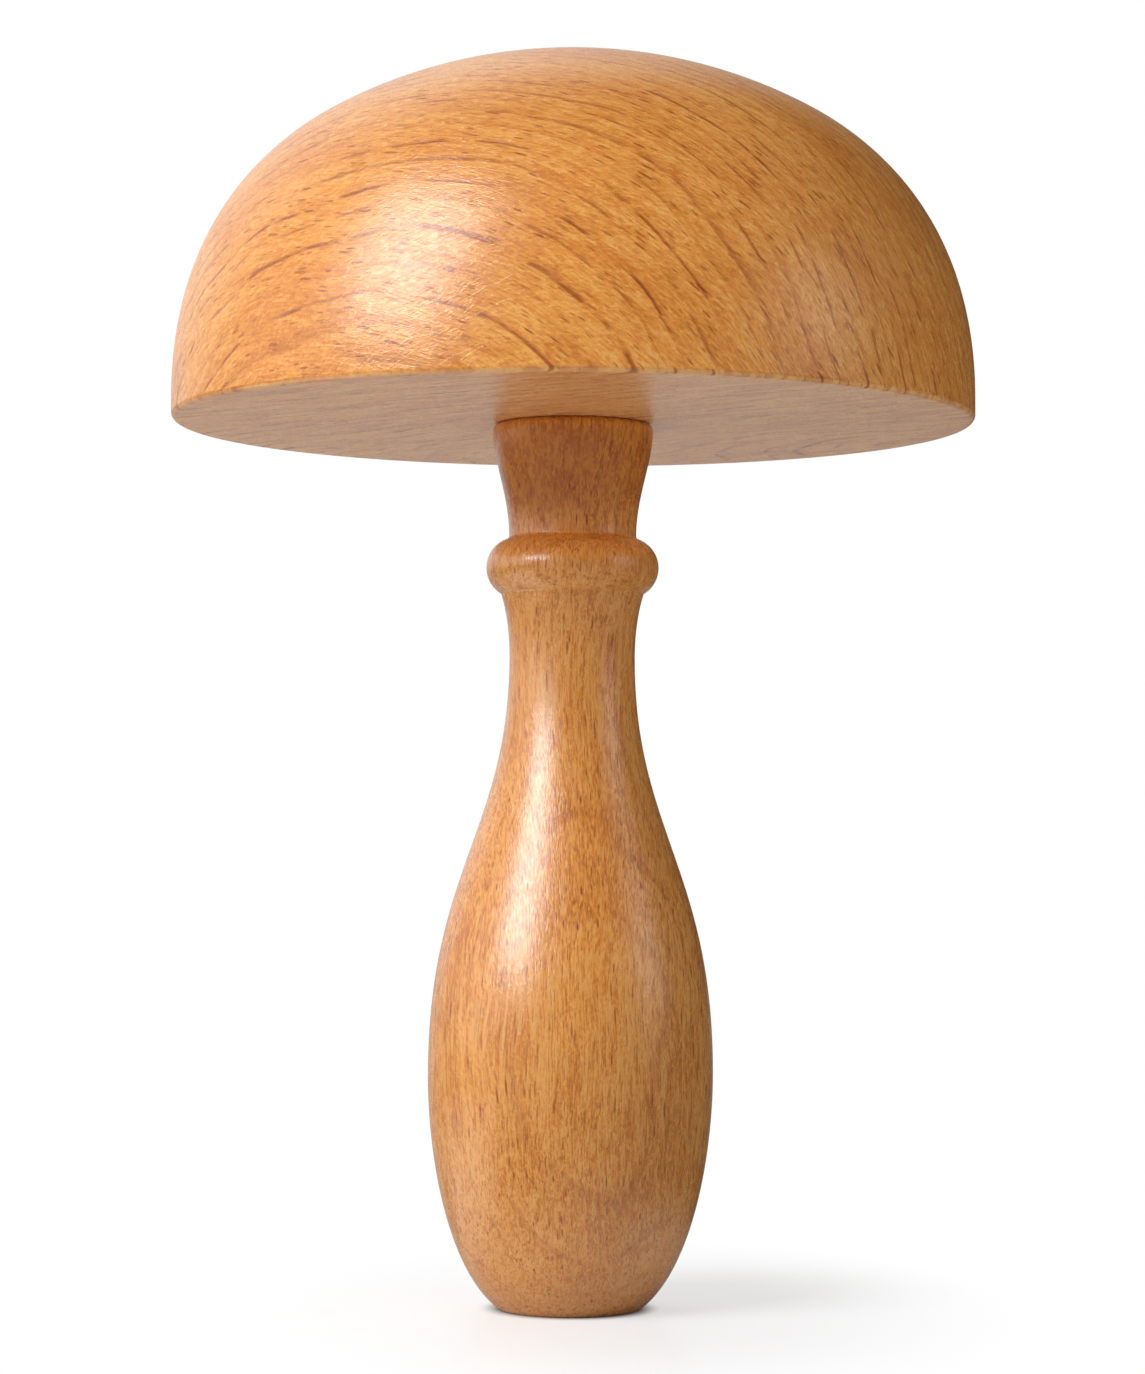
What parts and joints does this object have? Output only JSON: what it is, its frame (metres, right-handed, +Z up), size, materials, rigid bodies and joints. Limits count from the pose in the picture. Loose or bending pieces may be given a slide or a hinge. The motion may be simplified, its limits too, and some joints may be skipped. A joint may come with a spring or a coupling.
{
  "type": "darning mushroom",
  "caption": "Turned wooden darning mushroom: a bulbous handle with a bead and collar that stands on its foot, under a domed screw-on cap with a flat underside.",
  "frame": {"origin": "centre of the handle's flat foot, on the surface it stands on", "axes": "+Z up along the turning axis, from the foot to the top of the dome; the picture looks along +Y with +X to the right"},
  "size_m": [0.08, 0.08, 0.1247],
  "materials": {
    "handle_beech": "clear-lacquered beech, satin to gloss, grain along the handle",
    "cap_beech": "clear-lacquered beech, satin to gloss, grain across the cap"
  },
  "bodies": {
    "handle_body": {"handle": "handle_beech"},
    "cap_body": {"cap": "cap_beech"}
  },
  "joints": [
    {"name": "cap_lift", "type": "slide", "parent": "handle_body", "child": "cap_body", "axis": [0, 0, 1], "range_m": [0, 0.018]}
  ]
}
